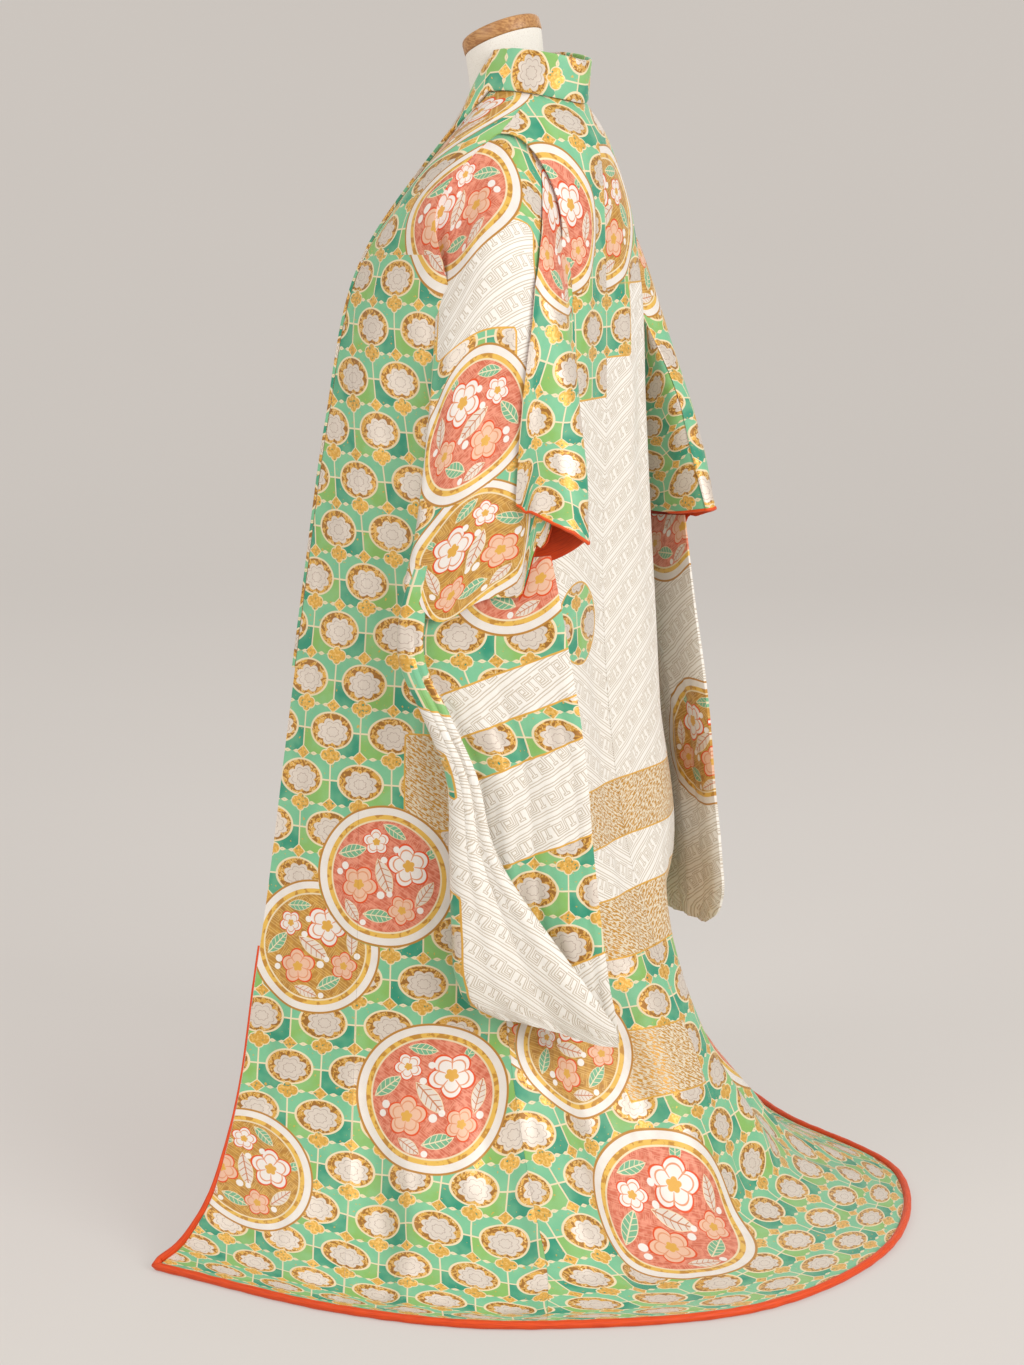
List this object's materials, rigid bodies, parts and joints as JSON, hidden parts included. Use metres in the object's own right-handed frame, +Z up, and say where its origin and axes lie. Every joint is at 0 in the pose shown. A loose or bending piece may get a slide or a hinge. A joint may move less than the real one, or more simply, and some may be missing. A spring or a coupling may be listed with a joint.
{
  "type": "furisode on a dress form",
  "caption": "Long-sleeved trailing silk kimono worn open on a limbless dress form, with a padded orange hem and a short train spread on the floor.",
  "frame": {"origin": "on the floor, at the middle of the underside of the stand's round base", "axes": "+Z up, -Y to the front opening, +X to the wearer's left"},
  "size_m": [1.0856, 0.8281, 1.638],
  "materials": {
    "brocade": "satin silk brocade, green lattice with ivory key-fret zones and gold speckles",
    "orange_silk": "plain orange silk",
    "form_cloth": "off-white woven cover",
    "cap_wood": "clear-varnished pale wood",
    "stand_steel": "brushed steel"
  },
  "bodies": {
    "root": {"left_back": "brocade", "right_back": "brocade", "left_front": "brocade", "right_front": "brocade", "left_okumi": "brocade", "right_okumi": "brocade", "collar": "brocade", "left_sleeve": "brocade", "right_sleeve": "brocade", "left_sleeve_lining": "orange_silk", "right_sleeve_lining": "orange_silk", "left_hem_roll": "orange_silk", "right_hem_roll": "orange_silk", "form_torso": "form_cloth", "form_neck": "form_cloth", "form_cap": "cap_wood", "form_pole": "stand_steel", "form_base": "stand_steel"}
  },
  "joints": []
}
